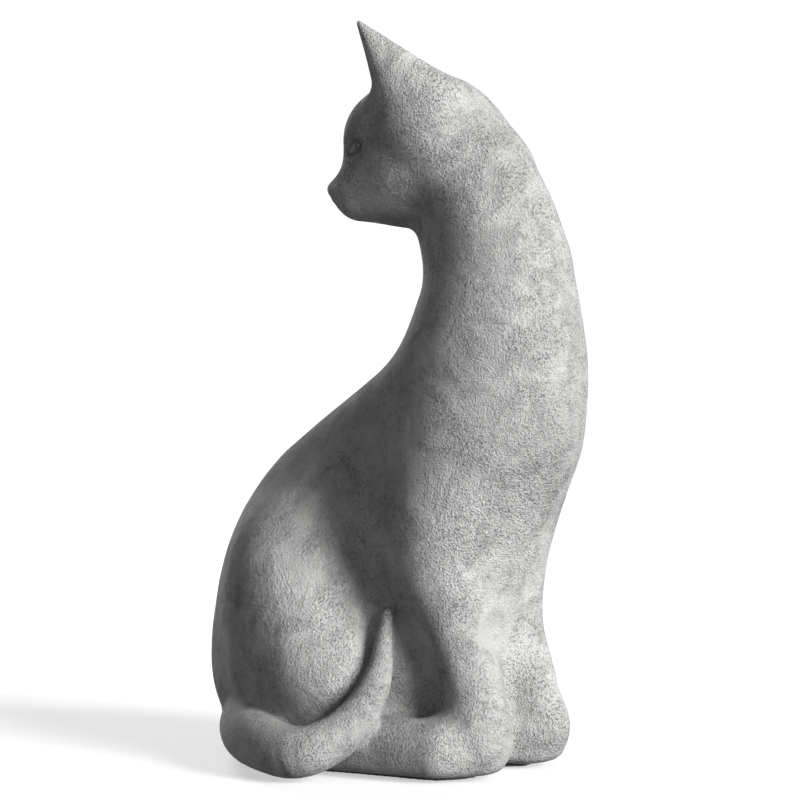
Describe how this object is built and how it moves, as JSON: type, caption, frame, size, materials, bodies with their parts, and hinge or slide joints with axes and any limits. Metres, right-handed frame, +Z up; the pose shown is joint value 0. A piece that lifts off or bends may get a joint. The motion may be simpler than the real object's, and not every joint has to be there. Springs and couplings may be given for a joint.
{
  "type": "seated cat figurine",
  "caption": "Seated cat figurine, hollow matte stoneware, head turned back over the shoulder, tail curled round the haunch, standing on a felt-covered foot.",
  "frame": {"origin": "on the underside of the felt, where the figure rests, on the mid-plane of the body and near the middle of the foot", "axes": "+Z up, -Y the way the chest faces, +X the cat's left side; the head is turned back to the cat's right, towards -X and +Y"},
  "size_m": [0.1359, 0.177, 0.293],
  "materials": {
    "stoneware": "matte, grainy, unglazed grey",
    "raw_stoneware": "matte, wiped smooth, unglazed grey",
    "felt": "matte felt"
  },
  "bodies": {
    "root": {"body_shell": "stoneware", "head_shell": "stoneware", "ear_left": "stoneware", "ear_right": "stoneware", "tail": "stoneware", "base_plate": "raw_stoneware", "felt_base": "felt"}
  },
  "joints": []
}
